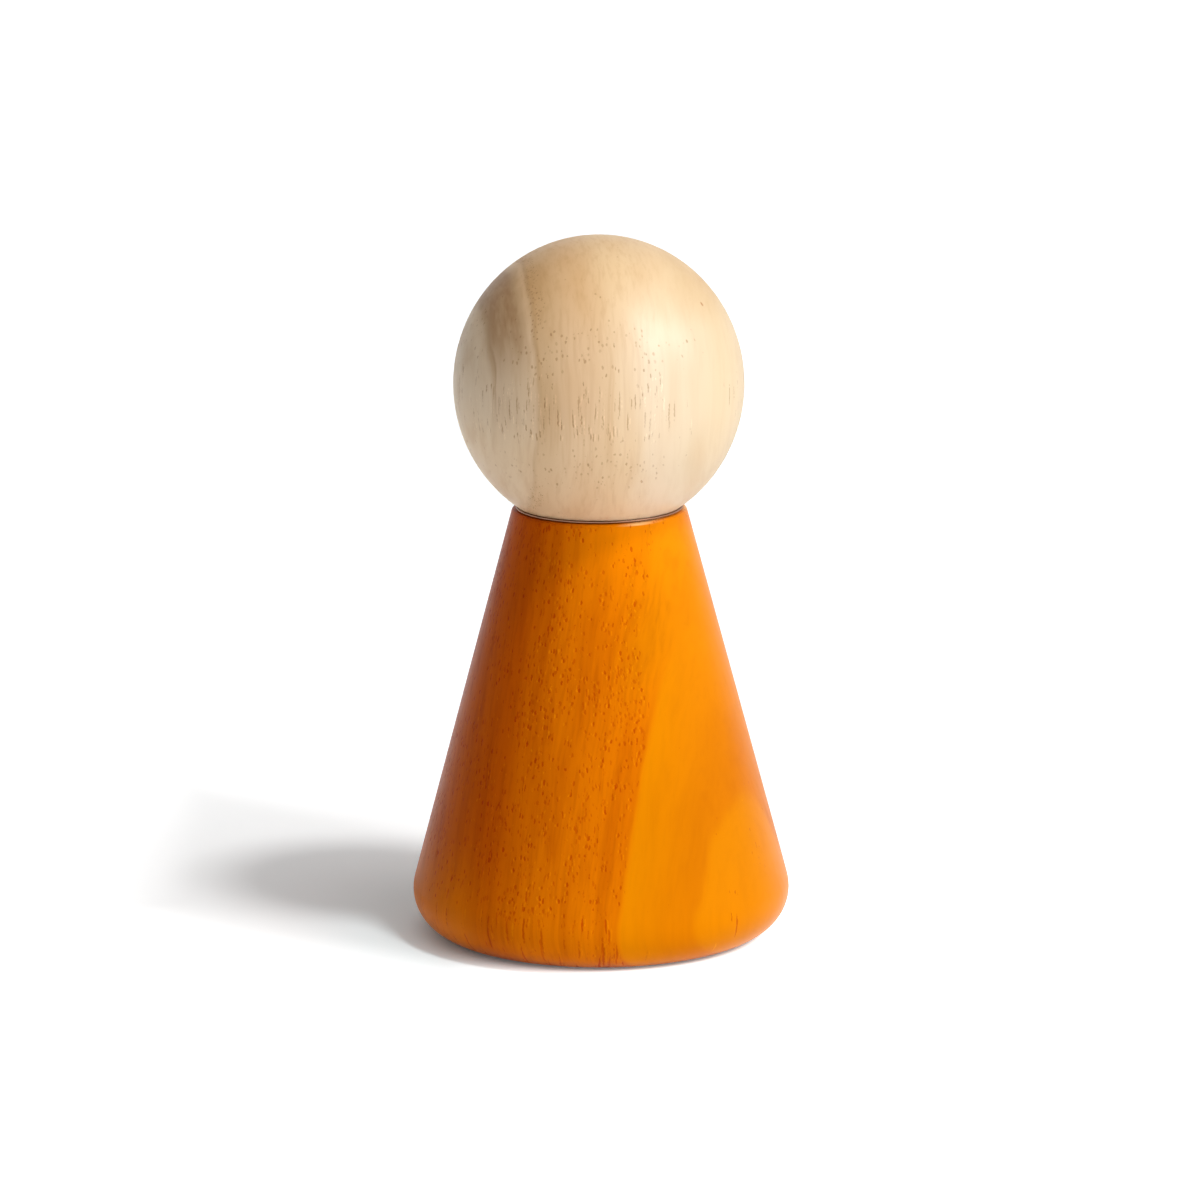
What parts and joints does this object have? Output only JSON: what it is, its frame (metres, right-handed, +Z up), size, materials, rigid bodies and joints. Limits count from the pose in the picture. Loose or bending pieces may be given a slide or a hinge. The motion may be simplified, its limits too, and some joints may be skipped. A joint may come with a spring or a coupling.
{
  "type": "pepper mill",
  "caption": "Pawn-shaped turned-wood pepper mill: a natural ball head turns on an orange conical body and drives an adjustable ceramic grinder in the base.",
  "frame": {"origin": "centre of the foot ring on the table", "axes": "+Z up along the turning axis; the mill is round, and +X points to the right in the picture, with -Y towards the camera"},
  "size_m": [0.0682, 0.0682, 0.127],
  "materials": {
    "natural_wood": "pale open-pored wood, satin clear coat",
    "orange_wood": "orange stain on open-pored wood, satin clear coat",
    "neck_steel": "turned steel, satin",
    "bright_steel": "plated steel, bright",
    "shaft_aluminium": "drawn bar, satin",
    "nut_brass": "machined",
    "white_ceramic": "sintered, matte",
    "black_plastic": "moulded, fine texture",
    "grey_plastic": "moulded, fine texture",
    "pale_plastic": "natural acetal",
    "ring_rubber": "matte"
  },
  "bodies": {
    "body": {"body_cone": "orange_wood", "neck_washer": "neck_steel", "grinder_housing": "black_plastic", "shaft_bush": "pale_plastic", "spring_washer": "bright_steel", "outer_burr": "white_ceramic", "cover_ring": "black_plastic", "cover_screw_1": "bright_steel", "cover_screw_2": "bright_steel", "cover_screw_3": "bright_steel"},
    "drive": {"drive_shaft": "shaft_aluminium", "shaft_grip_ring": "ring_rubber", "thrust_washer": "bright_steel", "retaining_clip": "bright_steel", "burr_spring": "bright_steel", "end_screw": "bright_steel"},
    "head": {"head_ball": "natural_wood", "head_insert": "black_plastic"},
    "burr": {"inner_burr": "white_ceramic", "burr_hub": "pale_plastic"},
    "adjuster": {"adjusting_wheel": "grey_plastic", "adjusting_nut": "nut_brass"}
  },
  "joints": [
    {"name": "head_turn", "type": "hinge", "parent": "body", "child": "drive", "pos_m": [0, 0, 0.0787], "axis": [0, 0, 1], "continuous": true},
    {"name": "head_lift", "type": "slide", "parent": "drive", "child": "head", "axis": [0, 0, 1], "range_m": [0, 0.04]},
    {"name": "burr_adjust", "type": "slide", "parent": "drive", "child": "burr", "axis": [0, 0, 1], "range_m": [-0.00075, 0.00075], "deforming": ["burr_spring"]},
    {"name": "wheel_turn", "type": "hinge", "parent": "burr", "child": "adjuster", "pos_m": [0, 0, 0.0042], "axis": [0, 0, 1], "range_deg": [-270, 270]}
  ],
  "couplings": [
    {"joint": "wheel_turn", "follows": "burr_adjust", "rad_per_m": 6283.2}
  ]
}
